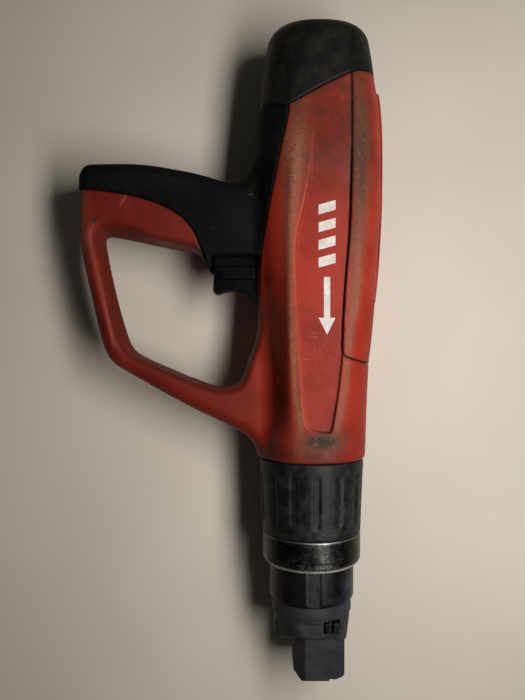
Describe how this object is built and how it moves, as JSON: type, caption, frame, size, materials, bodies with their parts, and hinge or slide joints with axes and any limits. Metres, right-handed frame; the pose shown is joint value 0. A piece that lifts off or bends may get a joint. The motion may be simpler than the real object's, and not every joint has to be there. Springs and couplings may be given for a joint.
{
  "type": "powder-actuated nail gun",
  "caption": "Powder-actuated fastening tool: red moulded body with a closed D-handle, black rear cap and grip, fluted collar, steel ring and square nose.",
  "frame": {"origin": "under the middle of the whole tool, on the surface that it lies on with its left flank down", "axes": "+Y along the shooting axis towards the rear cap, +Z out of the right flank, +X away from the grip"},
  "size_m": [0.2068, 0.4436, 0.075],
  "materials": {
    "red_shell": "moulded, scuffed",
    "soft_grip": "soft touch",
    "cap_plastic": "moulded, scuffed",
    "trigger_plastic": "satin",
    "collar_plastic": "moulded",
    "ring_steel": "blackened, worn bright at the edges",
    "black_metal": "blackened",
    "head_metal": "matte",
    "tool_steel": "ground",
    "spring_steel": "drawn",
    "rubber": "moulded"
  },
  "bodies": {
    "housing": {"housing_right": "red_shell", "housing_left": "red_shell", "top_cover": "red_shell", "rear_cap": "cap_plastic", "grip_pad": "soft_grip", "housing_screws": "tool_steel", "strip_entry": "cap_plastic", "cartridge_guide": "cap_plastic", "trigger_bar_pin": "tool_steel", "transport_pin": "tool_steel", "receiver_tube": "tool_steel", "front_bushing": "tool_steel", "collar_clip": "tool_steel", "spring_seat": "tool_steel", "breech_block": "tool_steel", "firing_pin_guide": "tool_steel", "pin_plug": "tool_steel", "rear_absorber": "rubber", "firing_pin_spring": "spring_steel", "trigger_spring": "spring_steel", "power_button_spring": "spring_steel", "release_spring": "spring_steel"},
    "collar": {"collar": "collar_plastic", "steel_ring": "ring_steel"},
    "nose_unit": {"adapter_sleeve": "black_metal", "front_o_ring": "rubber", "nose_head": "head_metal", "nose_block": "head_metal", "nose_bush": "tool_steel", "latch_spring": "spring_steel", "piston_guide": "tool_steel", "chamber_block": "tool_steel", "buffer": "rubber", "stop_ring": "tool_steel", "contact_spring": "spring_steel"},
    "piston": {"piston": "tool_steel", "piston_rings": "tool_steel"},
    "firing_pin": {"firing_pin": "tool_steel"},
    "trigger": {"trigger": "trigger_plastic"},
    "trigger_bar": {"trigger_bar": "tool_steel"},
    "transport_lever": {"transport_lever": "tool_steel"},
    "power_wheel": {"power_wheel": "trigger_plastic", "wheel_shaft": "tool_steel"},
    "power_button": {"power_button": "trigger_plastic"},
    "release_button": {"release_button": "trigger_plastic"},
    "head_latch": {"head_latch": "black_metal"}
  },
  "joints": [
    {"name": "contact_slide", "type": "slide", "parent": "housing", "child": "nose_unit", "axis": [0, 1, 0], "range_m": [0, 0.0155], "stiffness_N_per_m": 3000, "springref_m": -0.02, "deforming": ["contact_spring"]},
    {"name": "piston_slide", "type": "slide", "parent": "nose_unit", "child": "piston", "axis": [0, -1, 0], "range_m": [0, 0.12]},
    {"name": "firing_pin_slide", "type": "slide", "parent": "housing", "child": "firing_pin", "axis": [0, 1, 0], "range_m": [0, 0.012], "stiffness_N_per_m": 1500, "springref_m": -0.01, "deforming": ["firing_pin_spring"]},
    {"name": "trigger_slide", "type": "slide", "parent": "housing", "child": "trigger", "axis": [0, 1, 0], "range_m": [0, 0.008], "stiffness_N_per_m": 1200, "springref_m": -0.008, "deforming": ["trigger_spring"]},
    {"name": "trigger_bar_hinge", "type": "hinge", "parent": "housing", "child": "trigger_bar", "pos_m": [0.0186, 0.09905, 0.0438], "axis": [0, 0, -1], "range_deg": [0, 8]},
    {"name": "transport_hinge", "type": "hinge", "parent": "housing", "child": "transport_lever", "pos_m": [0.0236, 0.07705, 0.0312], "axis": [0, 0, 1], "range_deg": [0, 12]},
    {"name": "collar_turn", "type": "hinge", "parent": "housing", "child": "collar", "pos_m": [0.0546, -0.07295, 0.0375], "axis": [0, 1, 0], "range_deg": [0, 60]},
    {"name": "power_wheel_turn", "type": "hinge", "parent": "housing", "child": "power_wheel", "pos_m": [0.0571, 0.04505, 0.0027], "axis": [0, 0, 1], "range_deg": [0, 90]},
    {"name": "power_button_press", "type": "slide", "parent": "housing", "child": "power_button", "axis": [0, 0, 1], "range_m": [0, 0.002], "stiffness_N_per_m": 600, "springref_m": -0.002, "deforming": ["power_button_spring"]},
    {"name": "release_button_press", "type": "slide", "parent": "housing", "child": "release_button", "axis": [0, 0, 1], "range_m": [0, 0.003], "stiffness_N_per_m": 600, "springref_m": -0.003, "deforming": ["release_spring"]},
    {"name": "head_latch_press", "type": "slide", "parent": "nose_unit", "child": "head_latch", "axis": [0, 0, -1], "range_m": [0, 0.002], "stiffness_N_per_m": 800, "springref_m": -0.002, "deforming": ["latch_spring"]}
  ],
  "couplings": [
    {"joint": "trigger_bar_hinge", "follows": "trigger_slide", "rad_per_m": 17.436},
    {"joint": "transport_hinge", "follows": "contact_slide", "rad_per_m": 13.499}
  ]
}
